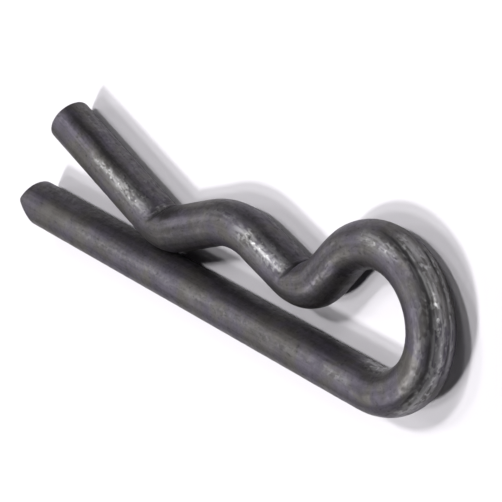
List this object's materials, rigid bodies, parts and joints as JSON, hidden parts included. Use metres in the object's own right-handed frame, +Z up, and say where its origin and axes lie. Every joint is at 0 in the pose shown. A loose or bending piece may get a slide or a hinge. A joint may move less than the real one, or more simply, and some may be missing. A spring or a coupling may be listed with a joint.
{
  "type": "hitch r clip pin",
  "caption": "Spring R clip bent from round steel wire: a straight leg for a cross-drilled pin, an open eye, and a waved arm that grips the shaft and flares at its tip.",
  "frame": {"origin": "centre of the eye, on the surface that the clip lies on", "axes": "+Z up, out of the plane that the wire is bent in; +X along the straight leg from its cut end to the eye; +Y from the leg to the waved arm"},
  "size_m": [0.0607, 0.0178, 0.0045],
  "materials": {
    "steel_wire": "dark oiled spring steel, semi-gloss, with faint drawing lines along the wire, blotchy scale, and brighter rubbed patches, forming marks and cut ends"
  },
  "bodies": {
    "root": {"r_clip": "steel_wire"}
  },
  "joints": []
}
